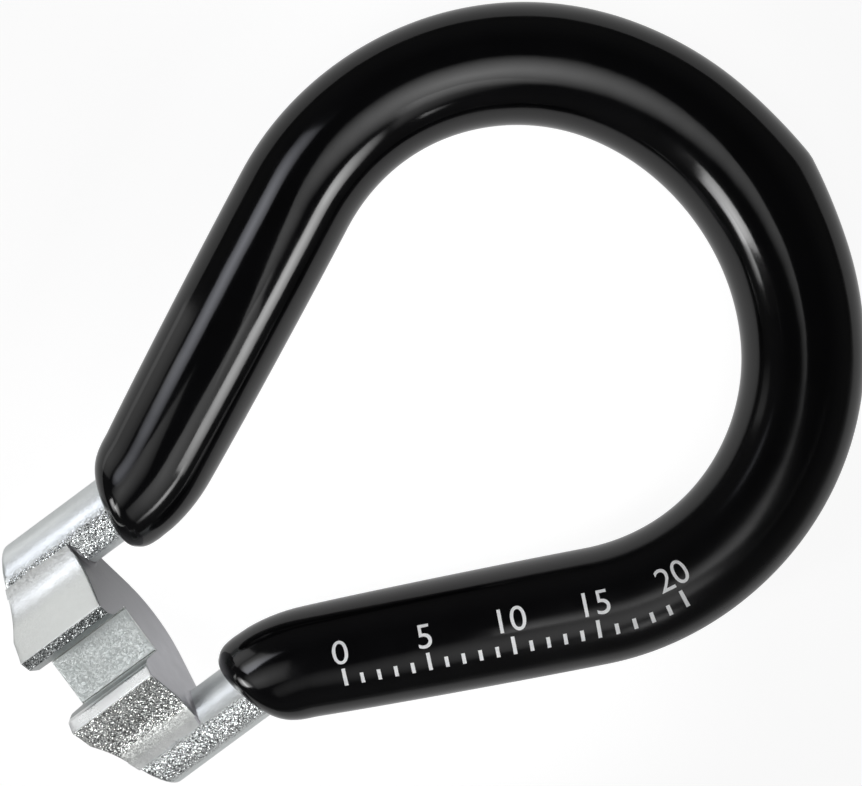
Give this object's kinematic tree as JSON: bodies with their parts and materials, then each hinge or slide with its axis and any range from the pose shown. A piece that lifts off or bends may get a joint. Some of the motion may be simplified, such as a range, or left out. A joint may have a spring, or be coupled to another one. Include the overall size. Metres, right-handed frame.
{
  "type": "spoke wrench",
  "caption": "Loop-handled bicycle spoke wrench with a plated slotted jaw head for square nipples and a glossy black dipped grip on a bent steel rod.",
  "frame": {"origin": "middle of the nipple slot's flat seat", "axes": "+X across the head, +Y along the tool towards the loop's apex, +Z out of the slot's open side"},
  "size_m": [0.0404, 0.0548, 0.0097],
  "materials": {
    "plated_head": "blasted and nickel plated, milled end faces",
    "plated_rod": "grainy nickel plate",
    "plated_braze": "brazing metal under nickel plate",
    "black_vinyl": "glossy dipped PVC"
  },
  "bodies": {
    "root": {"jaw_head": "plated_head", "loop_rod": "plated_rod", "braze_fillets": "plated_braze", "vinyl_grip": "black_vinyl"}
  },
  "joints": []
}
